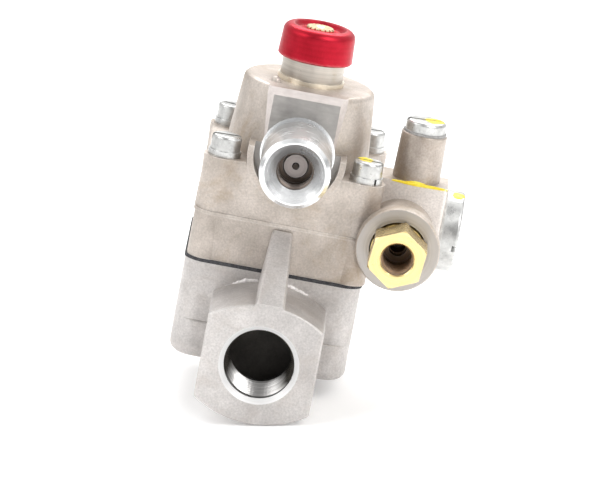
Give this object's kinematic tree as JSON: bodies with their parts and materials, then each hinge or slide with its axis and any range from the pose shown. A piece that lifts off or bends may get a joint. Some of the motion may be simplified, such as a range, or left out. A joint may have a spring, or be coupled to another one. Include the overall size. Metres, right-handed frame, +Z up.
{
  "type": "gas valve",
  "caption": "Thermocouple-supervised gas safety valve with a push reset button, threaded pipe ports in line and a side pilot outlet.",
  "frame": {"origin": "on the pipe axis, where the inlet port's thread starts behind its countersunk mouth", "axes": "+Z up through the reset button, +Y out of the inlet port along the pipe axis, +X towards the pilot block"},
  "size_m": [0.0646, 0.089, 0.0888],
  "materials": {
    "cast_upper": "satin",
    "cast_lower": "satin",
    "gasket": "matte",
    "zinc": "satin",
    "nickel": "satin",
    "connector": "polished",
    "insulator": "matte",
    "red_anodised": "satin",
    "brass": "polished",
    "steel": "satin",
    "copper": "satin",
    "core_iron": "satin",
    "seal": "matte",
    "filter_felt": "matte"
  },
  "bodies": {
    "root": {"lower_body": "cast_lower", "body_gasket": "gasket", "upper_body": "cast_upper", "cover_screws": "zinc", "lock_washers": "zinc", "reset_sleeve": "nickel", "stem_seal": "seal", "reset_spring": "steel", "thermocouple_connector": "connector", "connector_washer": "connector", "connector_insulator": "insulator", "connector_contact": "copper", "contact_lead": "copper", "magnet_core": "core_iron", "magnet_coil_left": "copper", "magnet_coil_right": "copper", "magnet_bracket": "steel", "bracket_screws": "steel", "spindle_guide": "brass", "valve_seat": "brass", "closing_spring": "steel", "pilot_plug": "zinc", "pilot_plug_washer": "gasket", "pilot_side_cap": "zinc", "side_cap_gasket": "gasket", "pilot_filter": "filter_felt", "pilot_fitting": "brass", "pilot_ferrule": "brass"},
    "button": {"reset_button": "red_anodised", "stem_end": "brass", "reset_stem": "steel", "stem_clip": "steel"},
    "spindle": {"valve_spindle": "steel", "armature_plate": "core_iron", "disc_holder": "brass", "valve_disc": "seal", "spindle_clip": "steel"},
    "needle": {"pilot_needle": "brass", "needle_seal": "seal"}
  },
  "joints": [
    {"name": "reset_button_press", "type": "slide", "parent": "root", "child": "button", "axis": [0, 0, -1], "range_m": [0, 0.004], "stiffness_N_per_m": 1500, "springref_m": -0.002, "deforming": ["reset_spring"]},
    {"name": "valve_spindle_lift", "type": "slide", "parent": "root", "child": "spindle", "axis": [0, 0, -1], "range_m": [0, 0.004], "stiffness_N_per_m": 300, "springref_m": -0.002, "deforming": ["closing_spring"]},
    {"name": "pilot_needle_turn", "type": "hinge", "parent": "root", "child": "needle", "pos_m": [0.0294, -0.0483, 0.045], "axis": [0, 0, 1], "range_deg": [0, 720]}
  ],
  "couplings": [
    {"joint": "valve_spindle_lift", "follows": "reset_button_press", "ratio": 1}
  ]
}
